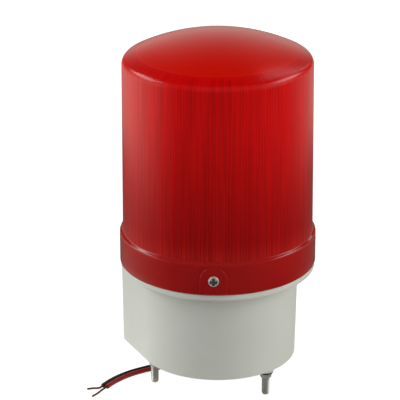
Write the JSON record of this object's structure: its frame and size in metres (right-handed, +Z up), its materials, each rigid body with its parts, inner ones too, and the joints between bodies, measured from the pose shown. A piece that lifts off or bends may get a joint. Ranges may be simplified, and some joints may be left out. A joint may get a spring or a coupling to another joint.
{
  "type": "rotating warning beacon",
  "caption": "Rotating warning beacon: red ribbed lens on a pale D-shaped base, with a geared mirror round a lamp, mounting studs and a short twin cable.",
  "frame": {"origin": "centre of the stud circle, at the tips of the mounting studs", "axes": "+Z up along the lens axis; +Y towards the base's flat back; +X to the right of its round front"},
  "size_m": [0.1227, 0.1, 0.1855],
  "materials": {
    "lens_red": "deep red translucent moulding, glossy",
    "base_white": "off-white satin moulding",
    "zinc": "zinc-plated steel",
    "screw_steel": "plated pan-head screws",
    "black_rubber": "soft black rubber",
    "deck_steel": "zinc-plated sheet steel",
    "brass": "turned brass",
    "lamp_cap": "dull pressed metal",
    "lamp_glass": "clear glass",
    "gear_white": "natural acetal",
    "mirror": "bright metallised",
    "motor_steel": "plain drawn steel case",
    "black_sheath": "black cable sheath",
    "red_sheath": "red cable sheath",
    "copper": "dull bare copper strands"
  },
  "bodies": {
    "housing": {"lens": "lens_red", "lens_screws": "screw_steel", "lens_seal": "black_rubber", "base_housing": "base_white", "mounting_bolts": "zinc", "rubber_washers": "black_rubber", "mounting_nuts": "zinc", "deck_plate": "deck_steel", "deck_screws": "screw_steel", "lamp_post": "brass", "post_screws": "screw_steel", "lamp_holder": "brass", "bulb_cap": "lamp_cap", "bulb_glass": "lamp_glass", "retaining_ring": "zinc", "idler_pin": "zinc", "idler_clip": "zinc", "motor": "motor_steel", "motor_screws": "screw_steel", "cable_bush": "black_rubber", "black_core": "black_sheath", "red_core": "red_sheath", "black_wire": "copper", "red_wire": "copper"},
    "turntable": {"turntable_gear": "gear_white", "reflector": "mirror", "reflector_screws": "screw_steel"},
    "idler": {"idler_gear": "gear_white"},
    "rotor": {"motor_shaft": "motor_steel", "pinion": "brass"}
  },
  "joints": [
    {"name": "mirror_spin", "type": "hinge", "parent": "housing", "child": "turntable", "pos_m": [0, 0, 0.08], "axis": [0, 0, 1], "continuous": true},
    {"name": "idler_spin", "type": "hinge", "parent": "housing", "child": "idler", "pos_m": [0.02252, 0.013, 0.074], "axis": [0, 0, 1], "continuous": true},
    {"name": "motor_spin", "type": "hinge", "parent": "housing", "child": "rotor", "pos_m": [0.0216, -0.00448, 0.07], "axis": [0, 0, 1], "continuous": true}
  ],
  "couplings": [
    {"joint": "idler_spin", "follows": "mirror_spin", "ratio": -4},
    {"joint": "motor_spin", "follows": "mirror_spin", "ratio": 16}
  ]
}
